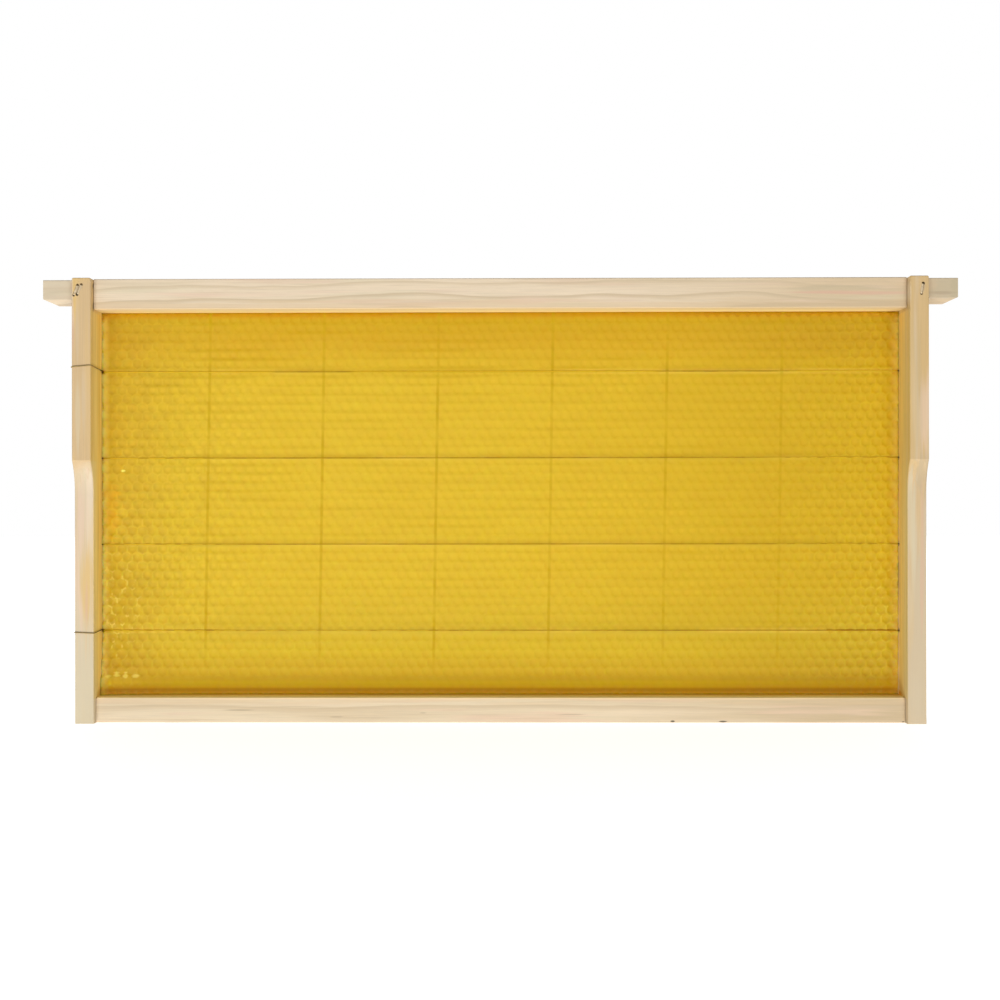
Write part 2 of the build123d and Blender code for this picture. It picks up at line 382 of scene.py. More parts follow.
def new_group(name, inputs, outputs):
    """A shader node group: its tree, what it is given and what it puts out."""
    tree = bpy.data.node_groups.new(name, "ShaderNodeTree")
    for label, kind in inputs:
        tree.interface.new_socket(name=label, in_out="INPUT", socket_type=kind)
    for label, kind in outputs:
        tree.interface.new_socket(name=label, in_out="OUTPUT", socket_type=kind)
    return tree, tree.nodes.new("NodeGroupInput").outputs, tree.nodes.new("NodeGroupOutput").inputs


def use_group(tree, group, **values):
    node = tree.nodes.new("ShaderNodeGroup")
    node.node_tree = group
    for label, value in values.items():
        feed(tree, node.inputs[label.replace("_", " ")], value)
    return node.outputs


def new_material(name):
    material = bpy.data.materials.new(name)
    material.use_nodes = True
    tree = material.node_tree
    shader = tree.nodes["Principled BSDF"]
    place = tree.nodes.new("ShaderNodeTexCoord").outputs["Object"]
    return material, tree, shader, place


def add_bump(tree, shader, height, strength, distance):
    bump = tree.nodes.new("ShaderNodeBump")
    bump.inputs["Strength"].default_value = strength
    bump.inputs["Distance"].default_value = distance
    feed(tree, bump.inputs["Height"], height)
    feed(tree, shader.inputs["Normal"], bump.outputs[0])


def seen_directly(tree):
    """1 for rays from the camera, also by way of metal or glass, and 0 for the light that falls on things."""
    light_path = tree.nodes.new("ShaderNodeLightPath").outputs
    return largest(
        tree, light_path["Is Camera Ray"], light_path["Is Glossy Ray"], light_path["Is Transmission Ray"]
    )


# Wood

FLOAT = "NodeSocketFloat"
COLOUR = "NodeSocketColor"
VECTOR = "NodeSocketVector"


def pine_grain_group():
    """Growth rings round a pith that lies along X, in millimetres, with bands, streaks and flecks."""
    tree, given, out = new_group(
        "pine_grain",
        (
            ("Place", VECTOR), ("Ring Pitch", FLOAT), ("Wander", FLOAT), ("Arch", FLOAT), ("Arch At", FLOAT),
            ("Early", COLOUR), ("Late", COLOUR), ("Blush", COLOUR), ("Sap", COLOUR),
        ),
        (("Colour", COLOUR), ("Late Wood", FLOAT), ("Height", FLOAT)),
    )
    place = given["Place"]
    along, beside, above = split(tree, place)
    drift = split(tree, noise(tree, place, (0.013, 0.03, 0.03), detail=2.5, output="Color"))
    from_arch = calc(tree, "DIVIDE", calc(tree, "SUBTRACT", along, given["Arch At"]), 100.0)
    arch = product(tree, from_arch, from_arch, given["Arch"])
    across = []
    for part, wobble in ((beside, drift[0]), (calc(tree, "ADD", above, arch), drift[1])):
        shift = product(tree, calc(tree, "SUBTRACT", wobble, 0.5), given["Wander"])
        across.append(calc(tree, "ADD", part, shift))
    squares = [product(tree, part, part) for part in across]
    radius = calc(tree, "SQRT", calc(tree, "ADD", *squares))
    phase = calc(tree, "DIVIDE", radius, given["Ring Pitch"])
    ring_tone = tree.nodes.new("ShaderNodeTexWhiteNoise")
    ring_tone.noise_dimensions = "1D"
    feed(tree, ring_tone.inputs["W"], calc(tree, "FLOOR", phase))
    tone = smooth_step(tree, ring_tone.outputs["Value"], 0.0, 1.0, 0.4, 1.0)
    late = product(tree, band(tree, calc(tree, "FRACT", phase), 0.62, 0.93, 0.93, 1.0), tone)

    bands = noise(tree, place, (0.007, 0.11, 0.11), (3.0, 8.0, 5.0))
    sap = noise(tree, place, (0.010, 0.17, 0.17), (11.0, 2.0, 9.0))
    blush = noise(tree, place, (0.013, 0.22, 0.22), (7.0, 3.0, 1.0))
    fibre = noise(tree, place, (0.045, 2.6, 2.6), detail=3.0, roughness=0.6)
    fleck = smooth_step(tree, noise(tree, place, (0.11, 5.0, 5.0), detail=1.0), 0.66, 0.76)
    dash = noise(tree, place, (0.016, 0.9, 0.9), (5.0, 1.0, 4.0))
    dash = smooth_step(tree, dash, 0.58, 0.72, high=0.45)

    colour = mix_colour(tree, smooth_step(tree, sap, 0.50, 0.70, high=0.55), given["Early"], given["Sap"])
    colour = mix_colour(tree, smooth_step(tree, blush, 0.50, 0.70, high=0.7), colour, given["Blush"])
    colour = mix_colour(tree, smooth_step(tree, bands, 0.45, 0.70, high=0.4), colour, given["Late"])
    colour = mix_colour(tree, largest(tree, late, dash), colour, given["Late"])
    streak = smooth_step(tree, fibre, 0.25, 0.75, 0.95, 1.04)
    colour = mix_colour(tree, 1.0, colour, streak, "MULTIPLY")
    colour = mix_colour(tree, product(tree, fleck, 0.3), colour, given["Late"])
    feed(tree, out["Colour"], colour)
    feed(tree, out["Late Wood"], late)
    feed(tree, out["Height"], calc(tree, "SUBTRACT", fibre, product(tree, fleck, 0.6)))
    return tree


def mark_group():
    """A soft oval mark on the surface: 1 at its middle, 0 past its reach, drawn out along the grain."""
    tree, given, out = new_group(
        "mark",
        (("Place", VECTOR), ("Grain Place", VECTOR), ("Middle", VECTOR), ("Reach", VECTOR)),
        (("Mask", FLOAT),),
    )
    offset = vector_calc(tree, "SUBTRACT", given["Place"], given["Middle"])
    distance = vector_calc(tree, "LENGTH", vector_calc(tree, "DIVIDE", offset, given["Reach"]))
    ragged = noise(tree, given["Grain Place"], (0.02, 0.5, 0.5))
    distance = calc(tree, "ADD", distance, smooth_step(tree, ragged, 0.3, 0.7, -0.25, 0.3))
    feed(tree, out["Mask"], fade(tree, distance, 0.35, 1.0))
    return tree


def wax_light_and_shade_group():
    """The wooden faces round the opening, with painted reflected light from the wax: gold, and orange close
    to the sheet; and painted shade, brown, on the bottom bar's top close to the sheet.
    """
    tree, given, out = new_group(
        "wax_light_and_shade", (("Place", VECTOR),), (("Mask", FLOAT), ("Close", FLOAT), ("Foot", FLOAT))
    )
    x, y, z = split(tree, given["Place"])
    from_middle = calc(tree, "ABSOLUTE", x)
    between_bars = fade(tree, from_middle, inner_face + 0.00004, inner_face + 0.0003)
    above_foot = smooth_step(tree, z, opening_foot - 0.0009, opening_foot - 0.0002)
    below_top = fade(tree, z, opening_top + 0.0002, opening_top + 0.0009)

    # Fainter towards the front, at the right, under the front of the top bar and behind the sheet
    inward = smooth_step(tree, y, shoulder_front, -0.007, 0.45, 1.0)
    at_right = smooth_step(tree, x, 0.205, 0.212, 1.0, 0.75)
    below_bar = fade(tree, z, opening_top - 0.002, opening_top - 0.0005)
    under_bar = largest(tree, below_bar, smooth_step(tree, y, bar_front, -0.002, 0.05, 0.7))
    behind = smooth_step(tree, y, -0.001, 0.002, 1.0, 0.4)
    mask = product(tree, between_bars, above_foot, below_top, inward, at_right, under_bar, behind)
    feed(tree, out["Mask"], mask)

    close = smooth_step(tree, y, -0.012, -0.001)
    off_bar = smooth_step(tree, z, opening_top - 0.002, opening_top, 1.0, 0.2)
    feed(tree, out["Close"], product(tree, mask, close, off_bar))

    at_foot = fade(tree, z, opening_foot + 0.001, opening_foot + 0.003)
    in_front = band(tree, y, -0.006, -0.0015, 0.0, 0.001)
    feed(tree, out["Foot"], product(tree, at_foot, above_foot, in_front, between_bars))
    return tree


def add_marks(tree, place, grain_place, colour, marks):
    """Lays soft marks over a colour: each has a middle, a reach, a colour and a strength."""
    for middle, reach, mark_colour, strength in marks:
        mark = use_group(
            tree, mark_nodes, Place=place, Grain_Place=grain_place, Middle=middle, Reach=reach
        )
        colour = mix_colour(tree, product(tree, mark["Mask"], strength), colour, mark_colour)
    return colour


def pine(
    name, turn, pith, ring_pitch, wander, early, late, blush, sap, heart, marks,
    arch=0.0, arch_at=0.0, bare=None,
):
    """Planed pine for one bar.

    pith is where the heart of the tree lay, in millimetres; heart gives the axis along which the wood
    darkens, where that starts and ends, and its colour; arch bends the rings about a place along the
    grain; bare gives two places along X, between which the darker wood fades out to an outer face.
    """
    material, tree, shader, place = new_material(name)
    grain_place = stretch(tree, place, millimetres, pith, turn)
    heart_axis, heart_start, heart_end, heart_colour = heart
    parts = split(tree, place)
    hearted = smooth_step(tree, parts[heart_axis], heart_start, heart_end)
    if bare:
        hearted = product(tree, hearted, smooth_step(tree, parts[along_x], *bare))
    wood = use_group(
        tree, grain_nodes,
        Place=grain_place, Ring_Pitch=ring_pitch, Wander=wander, Arch=arch, Arch_At=arch_at,
        Early=mix_colour(tree, hearted, early, heart_colour), Late=late, Blush=blush, Sap=sap,
    )
    colour = add_marks(tree, place, grain_place, wood["Colour"], marks)
    # Painted reflected light from the wax round the opening, and painted shade on the bottom bar's top
    light_and_shade = use_group(tree, light_and_shade_nodes, Place=place)
    colour = mix_colour(tree, product(tree, light_and_shade["Mask"], reflection_strength), colour, reflected_gold)
    colour = mix_colour(tree, product(tree, light_and_shade["Close"], close_reflection_strength), colour, reflected_orange)
    colour = mix_colour(tree, light_and_shade["Foot"], colour, foot_shade_brown)
    streak = smooth_step(tree, noise(tree, grain_place, (0.014, 0.42, 0.42)), 0.3, 0.7, 0.89, 1.10)
    colour = mix_colour(tree, light_and_shade["Mask"], colour, streak, "MULTIPLY")
    feed(tree, shader.inputs["Base Color"], colour)
    feed(tree, shader.inputs["Roughness"], smooth_step(tree, wood["Late Wood"], 0.0, 1.0, 0.68, 0.55))
    shader.inputs["Specular IOR Level"].default_value = 0.3
    add_bump(tree, shader, wood["Height"], strength=0.25, distance=0.0002)
    return material


# Wires and staples


def wire_stain(tree, place):
    return noise(tree, place, (90.0, 400.0, 400.0), detail=3.0)


def finish_wire(tree, shader, stain, colour, smoothest, roughest):
    feed(tree, shader.inputs["Base Color"], colour)
    feed(tree, shader.inputs["Roughness"], smooth_step(tree, stain, 0.2, 0.8, smoothest, roughest))
    add_bump(tree, shader, stain, strength=0.2, distance=0.00005)


def steel(name, colours, smoothest, roughest):
    """Dull drawn metal with an uneven stain."""
    material, tree, shader, place = new_material(name)
    stain = wire_stain(tree, place)
    colour = mix_colour(tree, smooth_step(tree, stain, 0.3, 0.7), *colours)
    finish_wire(tree, shader, stain, colour, smoothest, roughest)
    shader.inputs["Metallic"].default_value = 0.85
    return material


def strung_wire():
    """Tan where it is tied, dark at the holes, brown over the sheet, and wax-coloured where it is sunk."""
    material, tree, shader, place = new_material("strung_wire")
    x, y, z = split(tree, place)
    from_middle = calc(tree, "ABSOLUTE", x)
    stain = wire_stain(tree, place)
    stained = smooth_step(tree, stain, 0.3, 0.7)
    tied = mix_colour(tree, stained, *tied_wire)
    bare = mix_colour(tree, stained, *bare_wire)
    bare = mix_colour(tree, smooth_step(tree, y, -0.0060, -0.0030), tied, bare)
    over_sheet = fade(tree, from_middle, inner_face - 0.0012, inner_face - 0.0004)
    colour = mix_colour(tree, over_sheet, bare, mix_colour(tree, stained, *waxed_wire))

    # Sunk in dashes near the sides; the lowest wire more so at the left and less at the right
    dashes = noise(tree, place, (1.0 / cell_pitch, 0.0, 20.0), detail=0.0)
    low_wire = calc(tree, "LESS_THAN", z, wire_heights[3] + wire_pitch / 2)
    low_right = product(tree, low_wire, smooth_step(tree, x, 0.05, 0.10))
    low_left = product(tree, low_wire, fade(tree, x, -0.06, 0.0, 0.6))
    sunk = smooth_step(tree, from_middle, 0.120, 0.180)
    sunk = calc(tree, "SUBTRACT", sunk, product(tree, sunk, low_right))
    sunk = smooth_step(tree, largest(tree, sunk, low_left), 0.0, 1.0, 0.38, 0.90)
    sunk = calc(tree, "SUBTRACT", sunk, product(tree, low_right, 0.3))
    sunk = product(tree, sunk, smooth_step(tree, dashes, 0.40, 0.55, 0.5, 1.0))

    # The top wire is hidden over its middle and at both ends; no wire is sunk at its holes
    top_wire = calc(tree, "GREATER_THAN", z, wire_heights[0] - wire_pitch / 2)
    middle = fade(tree, apart(tree, x, 0.003), 0.076, 0.090)
    right_end = smooth_step(tree, x, 0.145, 0.160)
    left_end = fade(tree, x, -0.125, -0.115)
    hidden = product(tree, top_wire, largest(tree, middle, right_end, left_end), 0.95)
    clear_of_hole = fade(tree, from_middle, inner_face - 0.0016, inner_face - 0.0008)
    sunk = product(tree, largest(tree, sunk, hidden), clear_of_hole)
    colour = mix_colour(tree, sunk, colour, sunk_wire_colour)
    finish_wire(tree, shader, stain, colour, smoothest=0.45, roughest=0.60)
    shader.inputs["Specular IOR Level"].default_value = 0.1
    return material


# Wax: each step below lays something over the colour that it is given

wax_marks = (
    ((-0.2085, -0.001, 0.112), (0.006, 0.004, 0.022), orange_colour, 0.4),
    ((-0.2022, -0.001, 0.1335), (0.0018, 0.004, 0.0012), crumb_and_glint_colour, 0.9),
    # Painted glints on cells at the foot's left corner
    ((-0.2098, -0.003, 0.0232), (0.0022, 0.005, 0.0016), crumb_and_glint_colour, 0.35),
    ((-0.2052, -0.003, 0.0243), (0.0024, 0.005, 0.0016), crumb_and_glint_colour, 0.40),
    ((-0.2006, -0.003, 0.0238), (0.0017, 0.005, 0.0024), crumb_and_glint_colour, 0.40),
    ((-0.1952, -0.003, 0.0236), (0.0028, 0.005, 0.0018), crumb_and_glint_colour, 0.40),
)


def read_wax(tree, place):
    """What the steps share: places on the sheet and in its cells, the cells' marks, and noise."""
    parts = split(tree, place)
    x = parts[along_x]
    z = parts[along_z]
    from_middle = calc(tree, "ABSOLUTE", x)
    row = calc(tree, "DIVIDE", calc(tree, "SUBTRACT", z, wax_low.z), row_rise)
    half_step = product(tree, calc(tree, "MODULO", calc(tree, "FLOOR", row), 2.0), 0.5)
    cell = calc(tree, "DIVIDE", calc(tree, "SUBTRACT", x, left_edge[0]), cell_pitch)
    cell = calc(tree, "ADD", calc(tree, "SUBTRACT", cell, half_step), cells_before + 0.5)
    mottle = noise(tree, place, (230.0, 230.0, 230.0), detail=3.0)
    mottle = smooth_step(tree, mottle, 0.3, 0.7, -1.0, 1.0)
    spread = smooth_step(tree, from_middle, 0.11, 0.20, 0.02, 0.07)
    return SimpleNamespace(
        place=place,
        x=x,
        z=z,
        from_middle=from_middle,
        rim=smooth_step(tree, read_mark(tree, "rim"), 0.25, 1.0),
        front=read_mark(tree, "front"),
        to_ridge=apart(tree, row, calc(tree, "ROUND", row)),
        to_cell_middle=apart(tree, calc(tree, "FRACT", cell), 0.5),
        cloud=noise(tree, place, (14.0, 14.0, 14.0), detail=3.0),
        patches=noise(tree, place, (18.0, 18.0, 1.0 / row_rise)),
        mottle=product(tree, mottle, spread),
    )


def paint_body(tree, wax):
    """Clouds in the wax, painted highlights on the rims towards the sides, and faint horizontal streaks."""
    clouded = smooth_step(tree, wax.cloud, 0.35, 0.75, high=0.6)
    colour = mix_colour(tree, clouded, floor_colour, cloud_colour)
    at_side = smooth_step(tree, wax.from_middle, 0.14, 0.21, high=0.55)
    colour = mix_colour(tree, product(tree, wax.rim, at_side), colour, lit_rim_colour)
    streak = smooth_step(tree, noise(tree, wax.place, (6.0, 6.0, 300.0)), 0.3, 0.7, 0.985, 1.01)
    return mix_colour(tree, 1.0, colour, streak, "MULTIPLY")


def paint_rows(tree, wax, colour):
    """The rows of cells, as thin lines of painted shade that come and go along the sheet."""
    line = fade(tree, wax.to_ridge, 0.0, 0.36)
    comes = smooth_step(tree, wax.patches, 0.35, 0.65, high=0.36)
    at_side = smooth_step(tree, wax.from_middle, 0.10, 0.20, 1.0, 1.6)
    clearer = product(tree, wax.front, smooth_step(tree, wax.z, 0.165, 0.195, high=0.8))
    line = product(tree, line, comes, at_side, calc(tree, "ADD", clearer, 1.0))
    return mix_colour(tree, line, colour, shaded_wax_colour)


def paint_dots(tree, wax, colour):
    """Cells that catch the light as pale dots, in patches at the left, the right and the top."""
    dot = fade(tree, wax.to_cell_middle, 0.08, 0.34)
    dot = product(tree, dot, smooth_step(tree, wax.to_ridge, 0.18, 0.42))
    patchy = noise(tree, wax.place, (24.0, 24.0, 40.0), (4.0, 1.0, 6.0), detail=3.0)
    patchy = smooth_step(tree, patchy, 0.44, 0.62)
    right = smooth_step(tree, wax.x, 0.01, 0.09, 0.15, 1.0)
    left = smooth_step(tree, wax.x, -0.15, -0.08, 0.8, 0.15)
    top = smooth_step(tree, wax.z, 0.165, 0.195, high=0.8)
    dot = product(tree, dot, patchy, largest(tree, right, left, top), 0.45)
    return mix_colour(tree, dot, colour, lit_rim_colour)


def paint_mottle(tree, wax, colour):
    """Light and dark flecks, stronger towards the sides."""
    return mix_colour(tree, 1.0, colour, calc(tree, "ADD", wax.mottle, 1.0), "MULTIPLY")


def paint_corners(tree, wax, colour):
    """In the low corners, painted glints on the rims and painted shade in the hollows."""
    corner = smooth_step(tree, wax.from_middle, inner_face - 0.030, inner_face - 0.004)
    corner = product(tree, corner, fade(tree, wax.z, 0.055, 0.105), 0.75)
    glint = noise(tree, wax.place, (380.0, 380.0, 300.0), (2.0, 5.0, 1.0), detail=1.0)
    glint = smooth_step(tree, glint, 0.50, 0.64)
    glint = product(tree, glint, smooth_step(tree, wax.rim, 0.0, 1.0, 0.35, 1.0))
    return mix_colour(tree, corner, colour, mix_colour(tree, glint, corner_shade_colour, corner_glint_colour))


def deepen_edges(tree, wax, colour):
    """Painted shade, deeper to the right and under the top bar; greener to the left and below; and painted
    light, yellow, at the foot in the bottom bar's shadow.
    """
    right = smooth_step(tree, wax.x, 0.0, 0.195, high=0.65)
    top = smooth_step(tree, wax.z, 0.175, 0.214, high=0.65)
    top = product(tree, top, smooth_step(tree, wax.x, -0.20, -0.05, 0.8, 1.0))
    colour = mix_colour(tree, largest(tree, right, top), colour, shaded_wax_colour)
    olive_left = fade(tree, wax.x, -0.213, -0.12, 0.3)
    olive_low = fade(tree, wax.z, 0.030, 0.085, 0.45)
    colour = mix_colour(tree, largest(tree, olive_left, olive_low), colour, olive_colour)
    return mix_colour(tree, fade(tree, wax.z, 0.016, 0.050, 0.8), colour, lit_foot_colour)


def paint_tints_light_and_shade(tree, wax, colour):
    """Tints from left to right; painted shade at the left, under the top bar and in the right corners; and
    bands of painted shade and painted light along the foot, in the bottom bar's shadow.
    """
    tint = mix_colour(tree, smooth_step(tree, wax.x, -0.10, 0.10), left_tint, right_tint)
    right = smooth_step(tree, wax.x, 0.08, 0.19)
    left = fade(tree, wax.x, -0.205, -0.165)
    high = smooth_step(tree, wax.z, 0.185, 0.205)
    low = fade(tree, wax.z, 0.030, 0.055)
    for where, shade in (
        (1.0, tint),
        # Painted shade at the left, under the top bar and in the right corners; a tint in the low left corner
        (left, (0.93, 0.90, 0.98, 1.0)),
        (high, (0.985, 0.95, 0.96, 1.0)),
        (product(tree, right, high), (0.90, 0.89, 0.88, 1.0)),
        (product(tree, right, low), (0.91, 0.90, 0.90, 1.0)),
        (product(tree, left, low), (0.97, 0.96, 1.08, 1.0)),
        # Bands of painted shade and painted light along the foot, in the bottom bar's shadow
        (band(tree, wax.z, 0.0205, 0.0230, 0.0275, 0.0390), (0.86, 0.83, 0.88, 1.0)),
        (band(tree, wax.z, 0.0162, 0.0180, 0.0195, 0.0213), (1.18, 1.20, 1.45, 1.0)),
        (band(tree, wax.z, 0.0144, 0.0150, 0.0160, 0.0172), (0.88, 0.82, 0.88, 1.0)),
        (fade(tree, wax.z, 0.0144, 0.0153), (1.30, 1.08, 1.75, 1.0)),
    ):
        colour = mix_colour(tree, where, colour, shade, "MULTIPLY")
    return colour


def lighten_by_bars(tree, wax, colour):
    """Lighter again close to the end bars, where the wood throws light back."""
    near_left = smooth_step(tree, wax.x, -inner_face, 0.006 - inner_face, 1.15, 1.0)
    near_right = smooth_step(tree, wax.x, inner_face - 0.004, inner_face, 1.0, 1.06)
    above_foot = smooth_step(tree, wax.z, 0.030, 0.075)
    colour = mix_colour(tree, above_foot, colour, largest(tree, near_left, near_right), "MULTIPLY")
    at_left = fade(tree, wax.x, -inner_face, 0.0050 - inner_face, 0.8)
    at_right = smooth_step(tree, wax.x, inner_face - 0.0060, inner_face, high=0.45)
    return mix_colour(tree, largest(tree, at_left, at_right), colour, edge_colour)


def mark_left_edge(tree, wax, colour):
    """An orange patch, a crumb of wax and painted glints by the left end bar, and brown dashes of painted
    shade where the sheet meets it.
    """
    grain_place = stretch(tree, wax.place, millimetres)
    colour = add_marks(tree, wax.place, grain_place, colour, wax_marks)
    # Dashes of painted shade where the sheet meets the end bar
    dash = smooth_step(tree, noise(tree, wax.place, (50.0, 50.0, 330.0), detail=1.0), 0.48, 0.62)
    dash = largest(tree, dash, fade(tree, wax.z, 0.060, 0.080))
    at_edge = fade(tree, wax.x, -0.2134, -0.2126)
    dash = product(tree, dash, at_edge, fade(tree, wax.z, 0.135, 0.150, 0.3))
    return mix_colour(tree, dash, colour, brown_colour)


def shade_under_bar(tree, wax, colour):
    """Painted shade, orange-brown, close under the top bar; at the right, the last row of cells shows there
    as dark teeth of painted shade.
    """
    below_bar = calc(tree, "SUBTRACT", opening_top, wax.z)
    colour = mix_colour(tree, fade(tree, below_bar, 0.0005, 0.0046, 0.9), colour, shadow_colour)
    uneven = calc(tree, "ADD", wax.to_cell_middle, product(tree, wax.mottle, 1.6))
    tooth_end = smooth_step(tree, uneven, 0.08, 0.45, 0.0009, 0.0028)
    tooth = fade(tree, calc(tree, "SUBTRACT", below_bar, tooth_end), -0.0005, 0.0003)
    tooth = product(tree, tooth, smooth_step(tree, wax.x, 0.08, 0.13, high=0.6))
    return mix_colour(tree, tooth, colour, tooth_colour)


def dot_foot(tree, wax, colour):
    """Two rows of painted glints at the foot, as pale dots between the cells."""
    comes = smooth_step(tree, wax.patches, 0.40, 0.60)
    for height, strength in ((0.0179, 0.30), (0.0152, 0.45)):
        at_row = fade(tree, apart(tree, wax.z, height), 0.0003, 0.0010, strength)
        dot = product(tree, at_row, wax.to_cell_middle, 2.0, comes)
        colour = mix_colour(tree, dot, colour, pale_colour)
    return colour


def paint_strung_wires(tree, wax, colour):
    """Wax melted pale beside the strung wires, in patches, and a darker seat close to them, partly painted
    shade of the wires.
    """
    rows = calc(tree, "DIVIDE", calc(tree, "SUBTRACT", wax.z, wire_heights[0]), wire_pitch)
    to_wire = product(tree, apart(tree, rows, calc(tree, "ROUND", rows)), wire_pitch)
    clouded = smooth_step(tree, wax.cloud, 0.45, 0.65, high=0.6)
    melted = product(tree, fade(tree, to_wire, 0.0004, 0.0020), clouded, wax.front)
    colour = mix_colour(tree, melted, colour, pale_colour)
    comes = smooth_step(tree, wax.patches, 0.35, 0.60, 0.10, 0.40)
    seat_and_shade = product(tree, fade(tree, to_wire, 0.0003, 0.0009), comes, wax.front)
    return mix_colour(tree, seat_and_shade, colour, line_colour)


def paint_upright_wires(tree, wax, colour):
    """The upright wires: leaning lines that show through the wax unevenly, and not at its foot."""
    lean = product(tree, calc(tree, "SUBTRACT", wax.z, middle_height), upright_lean)
    along = calc(tree, "SUBTRACT", calc(tree, "SUBTRACT", wax.x, lean), upright_shift)
    turns = calc(tree, "DIVIDE", along, upright_pitch)
    distance = product(tree, apart(tree, calc(tree, "FRACT", turns), 0.5), upright_pitch)
    line = fade(tree, distance, 0.0003, 0.0012)
    uneven = smooth_step(tree, noise(tree, wax.place, (20.0, 20.0, 45.0)), 0.3, 0.7, 0.25, 0.85)
    above_foot = smooth_step(tree, wax.z, 0.020, 0.040)
    within = calc(tree, "LESS_THAN", calc(tree, "ABSOLUTE", turns), upright_count / 2)
    return mix_colour(tree, product(tree, line, uneven, above_foot, within), colour, line_colour)


def foundation_wax():
    """Yellow wax that light goes into: the front has more tints, marks, painted light and painted shade than
    the back.
    """
    material, tree, shader, place = new_material("foundation_wax")
    wax = read_wax(tree, place)
    colour = paint_body(tree, wax)
    for step in (paint_rows, paint_dots, paint_mottle):
        colour = step(tree, wax, colour)
    back_colour = colour
    for step in (
        paint_corners,
        deepen_edges,
        paint_tints_light_and_shade,
        lighten_by_bars,
        mark_left_edge,
        shade_under_bar,
        dot_foot,
    ):
        colour = step(tree, wax, colour)
    colour = mix_colour(tree, wax.front, back_colour, colour)
    for step in (paint_strung_wires, paint_upright_wires):
        colour = step(tree, wax, colour)
    feed(tree, shader.inputs["Base Color"], colour)
    feed(tree, shader.inputs["Roughness"], smooth_step(tree, wax.cloud, 0.3, 0.7, 0.45, 0.58))
    shader.inputs["Specular IOR Level"].default_value = 0.2
    shader.inputs["Subsurface Weight"].default_value = 1.0
    shader.inputs["Subsurface Radius"].default_value = (1.0, 0.6, 0.15)
    shader.inputs["Subsurface Scale"].default_value = 0.005
    fine = noise(tree, place, (1500.0, 1500.0, 1500.0))
    add_bump(tree, shader, fine, strength=0.12, distance=0.0001)
    return material


# The embossed sheet


def model_cell():
    """One cell, seen from the front: a raised hexagonal rim round a three-sided hollow."""
    deselect_all()
    start = Vector((left_edge[0] - cells_before * cell_pitch, 0.0, wax_low.z - rows_before * row_rise))
    bpy.ops.mesh.primitive_circle_add(
        vertices=6, radius=cell_radius, fill_type="NGON", rotation=(radians(90), 0, 0)
    )
    cell = bpy.context.object
    cell.name = "wax_sheet"
    bpy.ops.object.transform_apply(rotation=True)
    edit_all()
    bpy.ops.mesh.inset(thickness=rim_width, depth=0)
    bpy.ops.mesh.poke()
    on_rim = 0.95 * cell_radius
    at_heart = 0.1 * cell_radius
    pick_vertices(cell, lambda place: place.length > on_rim)
    bpy.ops.transform.translate(value=(0, rim_front, 0))
    pick_vertices(cell, lambda place: place.length < at_heart)
    bpy.ops.transform.translate(value=(0, floor_level + floor_fall, 0))

    def on_floor(place):
        return abs(place.y) < 1e-6

    # Seen from the front, every other floor corner is the heart of a cell on the back
    far = 0.6 * cell_radius
    pick_vertices(cell, lambda place: on_floor(place) and (place.z > far or -far < place.z < 0))
    bpy.ops.transform.translate(value=(0, floor_level - floor_fall, 0))
    pick_vertices(cell, on_floor)
    bpy.ops.transform.translate(value=(0, floor_level, 0))
    bpy.ops.mesh.select_all(action="SELECT")
    bpy.ops.transform.translate(value=start)
    leave_edit()
    rim = cell.data.attributes.new("rim", "FLOAT", "POINT")
    for vertex, mark in zip(cell.data.vertices, rim.data):
        mark.value = 1.0 if vertex.co.y < 0.9 * rim_front else 0.0
    front = cell.data.attributes.new("front", "FLOAT", "POINT")
    for mark in front.data:
        mark.value = 1.0
    return cell, start


def repeat(piece, count, offset):
    array = piece.modifiers.new("repeat", "ARRAY")
    array.count = count
    array.use_relative_offset = False
    array.use_constant_offset = True
    array.constant_offset_displace = offset
    apply_modifier(piece, array)


def emboss_side():
    """One side of the sheet: the cell in rows, every other row half a cell along, welded together."""
    side, start = model_cell()
    repeat(side, cells_across, (cell_pitch, 0, 0))
    edit_all()
    bpy.ops.mesh.duplicate()
    bpy.ops.transform.translate(value=(cell_pitch / 2, 0, row_rise))
    leave_edit()
    repeat(side, row_pairs, (0, 0, 2 * row_rise))
    edit_all()
    bpy.ops.mesh.remove_doubles(threshold=cell_pitch / 1000)
    leave_edit()
    return side, start


def turn_to_back(side, start):
    """A copy turned round X, so that each of its cells stands behind a corner of three front ones."""
    make_active(side)
    bpy.ops.object.duplicate()
    back = bpy.context.object
    turn_height = start.z + cell_radius / 2 + row_rise * row_pairs
    edit_all()
    bpy.ops.transform.rotate(value=radians(180), orient_axis="X", center_override=(0, 0, turn_height))
    leave_edit()
    for mark in back.data.attributes["front"].data:
        mark.value = 0.0
    return back


def trim(side):
    """Cuts one side of the sheet to its outline."""
    height = wax_high.z - wax_low.z
    make_active(side)
    bpy.ops.object.mode_set(mode="EDIT")
    cuts = [((0, 0, wax_low.z), (0, 0, -1)), ((0, 0, wax_high.z), (0, 0, 1))]
    for (top, foot), outward in ((left_edge, -1), (right_edge, 1)):
        cuts.append(((foot, 0, wax_low.z), (outward * height, 0, outward * (foot - top))))
    for place, outward in cuts:
        bpy.ops.mesh.select_all(action="SELECT")
        bpy.ops.mesh.bisect(plane_co=place, plane_no=Vector(outward).normalized(), clear_outer=True)
    leave_edit()


